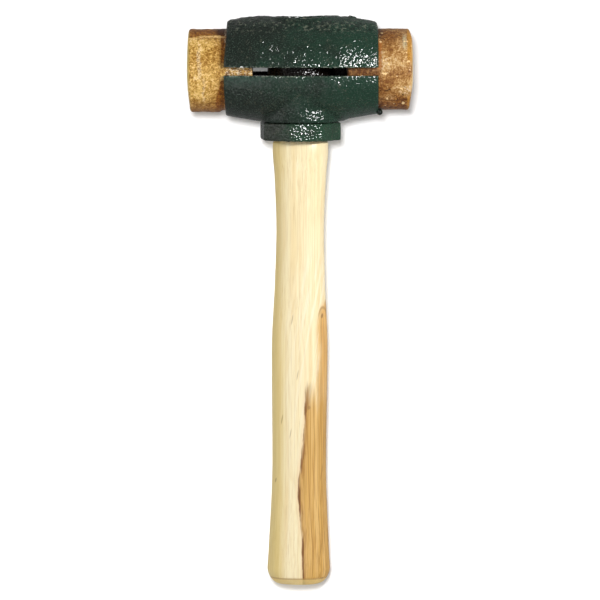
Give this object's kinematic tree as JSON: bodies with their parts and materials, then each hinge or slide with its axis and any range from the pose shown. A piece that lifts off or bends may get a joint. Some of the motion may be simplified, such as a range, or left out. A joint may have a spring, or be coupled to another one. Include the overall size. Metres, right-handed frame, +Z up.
{
  "type": "split-head rawhide mallet",
  "caption": "Split-head mallet: two cast jaws, drawn together by a nut on the upper jaw's stem, grip a rawhide cylinder at each end; wooden handle wedged in the stem.",
  "frame": {"origin": "centre of the tool's bounding box, on the ground it lies on", "axes": "+X along the barrel towards the right-hand face, +Y from the butt towards the eye, +Z up; the tool rests on its barrel and on the end of its handle"},
  "size_m": [0.1406, 0.3552, 0.0665],
  "materials": {
    "upper_jaw": "gloss",
    "lower_jaw": "gloss",
    "clamp_nut": "gloss",
    "left_face": "satin",
    "right_face": "satin",
    "handle": "satin",
    "wood_wedge": "matte",
    "steel_wedge_left": "satin",
    "steel_wedge_right": "satin"
  },
  "bodies": {
    "stock": {"upper_jaw": "upper_jaw", "handle": "handle", "wood_wedge": "wood_wedge", "steel_wedge_left": "steel_wedge_left", "steel_wedge_right": "steel_wedge_right"},
    "lower_jaw": {"lower_jaw": "lower_jaw"},
    "clamp_nut": {"clamp_nut": "clamp_nut"},
    "left_face": {"left_face": "left_face"},
    "right_face": {"right_face": "right_face"}
  },
  "joints": [
    {"name": "jaw_slide", "type": "slide", "parent": "stock", "child": "lower_jaw", "axis": [0, -0.9984, -0.0563], "range_m": [0, 0.00476]},
    {"name": "nut_turn", "type": "hinge", "parent": "lower_jaw", "child": "clamp_nut", "pos_m": [0.0003, 0.10614, 0.03097], "axis": [0, -0.9984, -0.0563], "range_deg": [0, 540]},
    {"name": "left_face_slide", "type": "slide", "parent": "stock", "child": "left_face", "axis": [-1, 0, 0], "range_m": [0, 0.0195]},
    {"name": "right_face_slide", "type": "slide", "parent": "stock", "child": "right_face", "axis": [1, 0, 0], "range_m": [0, 0.0195]}
  ],
  "couplings": [
    {"joint": "nut_turn", "follows": "jaw_slide", "rad_per_m": 1979}
  ]
}
